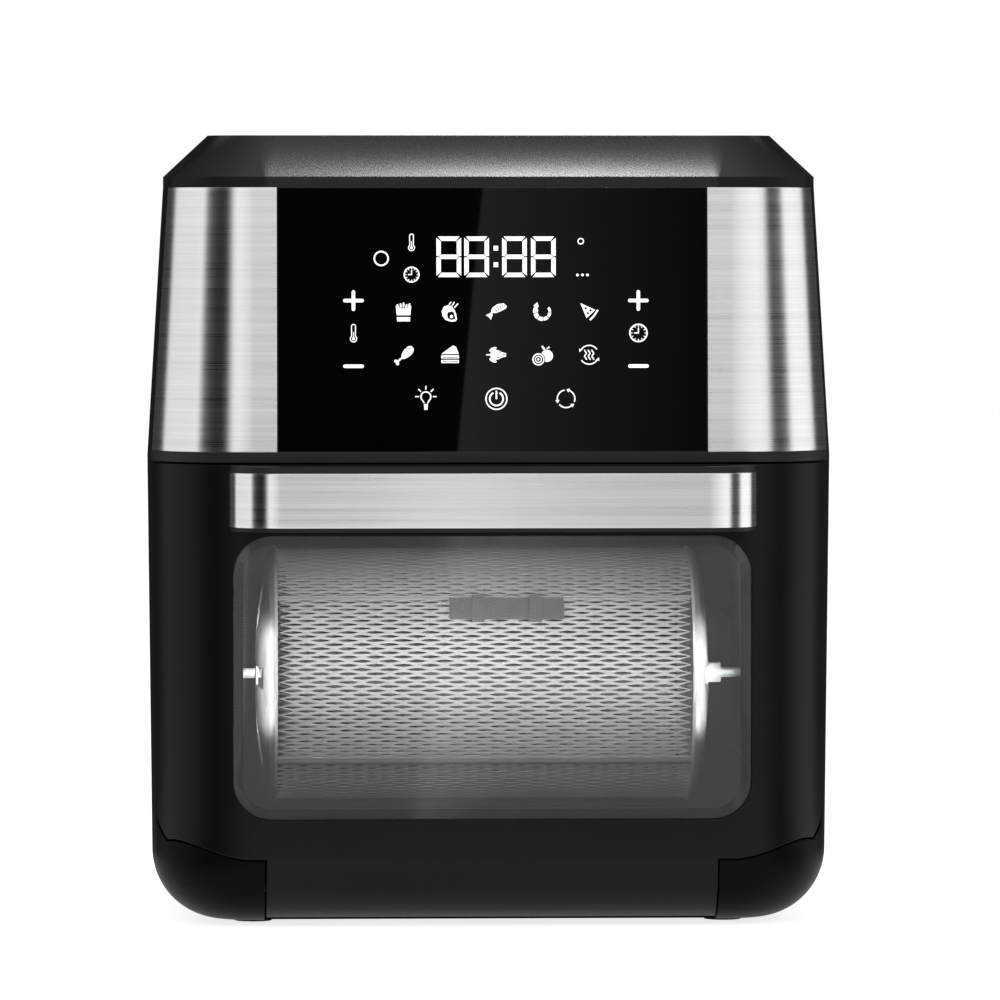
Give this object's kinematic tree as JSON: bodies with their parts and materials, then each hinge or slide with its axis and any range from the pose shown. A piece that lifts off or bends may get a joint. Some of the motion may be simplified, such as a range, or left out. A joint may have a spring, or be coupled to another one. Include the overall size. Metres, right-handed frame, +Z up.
{
  "type": "air fryer oven",
  "caption": "Countertop air fryer oven with a touch panel over a drop-down windowed door, a bar handle and a turning mesh drum inside.",
  "frame": {"origin": "on the table, under the middle of the plan outline", "axes": "+Z up, front with the door and handle towards -Y, +X to the right seen from the front"},
  "size_m": [0.33, 0.348, 0.38],
  "materials": {
    "housing": "fine-grained black",
    "door_shell": "satin black",
    "foot_rubber": "matt",
    "front_steel": "brushed across",
    "panel_glass": "black, glossy",
    "window": "grey tint",
    "lamp_glass": "frosted",
    "seal": "matt",
    "oven_sheet": "dark coated sheet",
    "plated_steel": "zinc plated",
    "heater_tube": "oxidised sheath",
    "motor_case": "satin",
    "circuit_board": "coated board",
    "display": "clear segments",
    "magnet": "plain",
    "inner_plastic": "moulded",
    "gland": "moulded",
    "drum_steel": "bright"
  },
  "bodies": {
    "oven": {"lid": "housing", "left_panel": "housing", "right_panel": "housing", "rear_panel": "housing", "base": "housing", "feet": "foot_rubber", "front_frame": "housing", "catch_magnets": "magnet", "touch_glass": "panel_glass", "steel_trim_left": "front_steel", "steel_trim_right": "front_steel", "panel_carrier": "housing", "control_board": "circuit_board", "display_module": "display", "touch_pads": "display", "power_board": "circuit_board", "liner_left": "oven_sheet", "liner_right": "oven_sheet", "liner_floor": "oven_sheet", "liner_back": "oven_sheet", "liner_ceiling": "oven_sheet", "rack_runners": "oven_sheet", "drip_tray": "oven_sheet", "lamp_lens": "lamp_glass", "lamp_holder": "plated_steel", "temperature_probe": "plated_steel", "heater_element": "heater_tube", "heater_clips": "plated_steel", "fan_guard": "plated_steel", "fan_motor": "motor_case", "motor_bracket": "plated_steel", "heat_shield": "plated_steel", "rotisserie_motor": "motor_case", "idle_bracket": "plated_steel", "cord_gland": "gland", "switch_body": "inner_plastic", "hinge_pins": "plated_steel"},
    "door": {"door_panel": "door_shell", "door_liner": "door_shell", "window_glass": "window", "window_seal": "seal", "inner_glass": "window", "door_seal": "seal", "handle_grip": "door_shell", "handle_cover": "front_steel", "strike_plates": "plated_steel"},
    "drum": {"drum_mesh": "drum_steel", "drum_door": "drum_steel", "drum_hinge": "drum_steel", "drum_end_left": "drum_steel", "drum_end_right": "drum_steel", "drum_idle_pin": "drum_steel", "drum_drive_pin": "drum_steel", "latch_guides": "drum_steel"},
    "latch": {"drum_latch": "drum_steel"},
    "drive": {"drive_socket": "inner_plastic"},
    "fans": {"hot_fan": "plated_steel", "cooling_fan": "inner_plastic", "fan_shaft": "plated_steel"},
    "plunger": {"switch_plunger": "inner_plastic"}
  },
  "joints": [
    {"name": "door_hinge", "type": "hinge", "parent": "oven", "child": "door", "pos_m": [0, -0.126, 0.02], "axis": [1, 0, 0], "range_deg": [0, 80]},
    {"name": "drum_spin", "type": "hinge", "parent": "oven", "child": "drum", "pos_m": [0, 0.0025, 0.1146], "axis": [1, 0, 0], "continuous": true},
    {"name": "drive_spin", "type": "hinge", "parent": "oven", "child": "drive", "pos_m": [0.134, 0.0025, 0.1146], "axis": [1, 0, 0], "continuous": true},
    {"name": "fan_spin", "type": "hinge", "parent": "oven", "child": "fans", "pos_m": [0, 0.0025, 0.22], "axis": [0, 0, 1], "continuous": true},
    {"name": "plunger_slide", "type": "slide", "parent": "oven", "child": "plunger", "axis": [0, -1, 0], "range_m": [0, 0.0026]},
    {"name": "latch_slide", "type": "slide", "parent": "drum", "child": "latch", "axis": [1, 0, 0], "range_m": [0, 0.007]}
  ],
  "couplings": [
    {"joint": "drive_spin", "follows": "drum_spin", "ratio": 1},
    {"joint": "plunger_slide", "follows": "door_hinge", "m_per_rad": 0.00179}
  ]
}
